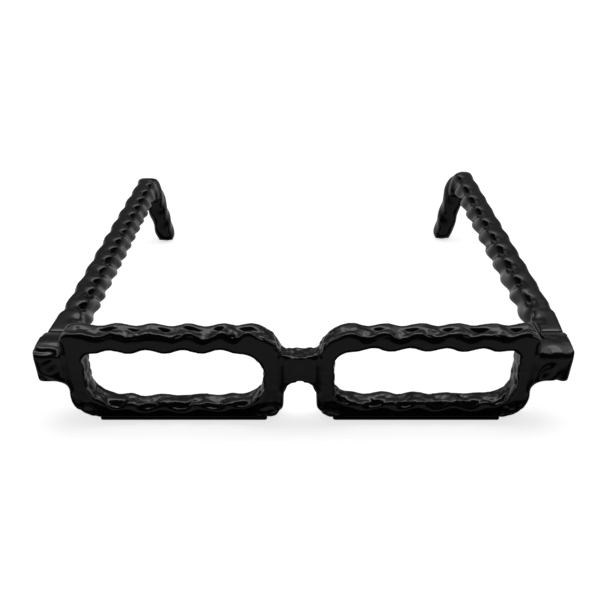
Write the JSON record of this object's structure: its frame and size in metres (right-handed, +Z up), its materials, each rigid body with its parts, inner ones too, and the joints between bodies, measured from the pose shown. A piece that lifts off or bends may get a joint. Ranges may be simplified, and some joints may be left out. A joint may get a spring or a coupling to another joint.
{
  "type": "spectacles ornament",
  "caption": "Black spectacles ornament with scalloped open rims and hinged temples, standing on rubber pads under the rims and the hooked tips.",
  "frame": {"origin": "on the surface that the ornament stands on, under the middle of its bounding box", "axes": "+X to the right as seen from the front, +Y back along the temples, +Z up"},
  "size_m": [0.1834, 0.1558, 0.0403],
  "materials": {
    "black_lacquer": "gloss",
    "hinge_steel": "satin",
    "fastener_steel": "satin",
    "rubber": "matte"
  },
  "bodies": {
    "front": {"left_rim": "black_lacquer", "right_rim": "black_lacquer", "bridge": "black_lacquer", "left_end_piece": "black_lacquer", "right_end_piece": "black_lacquer", "left_front_leaf": "hinge_steel", "right_front_leaf": "hinge_steel", "left_front_leaf_screws": "fastener_steel", "right_front_leaf_screws": "fastener_steel", "left_hinge_pin": "fastener_steel", "right_hinge_pin": "fastener_steel", "left_rim_pad": "rubber", "right_rim_pad": "rubber"},
    "left_temple": {"left_temple": "black_lacquer", "left_temple_leaf": "hinge_steel", "left_temple_leaf_screws": "fastener_steel", "left_tip_pad": "rubber"},
    "right_temple": {"right_temple": "black_lacquer", "right_temple_leaf": "hinge_steel", "right_temple_leaf_screws": "fastener_steel", "right_tip_pad": "rubber"}
  },
  "joints": [
    {"name": "left_temple_fold", "type": "hinge", "parent": "front", "child": "left_temple", "pos_m": [-0.07922, -0.06374, 0.02345], "axis": [0, 0, -1], "range_deg": [0, 87]},
    {"name": "right_temple_fold", "type": "hinge", "parent": "front", "child": "right_temple", "pos_m": [0.08098, -0.06374, 0.02345], "axis": [0, 0, 1], "range_deg": [0, 66]}
  ]
}
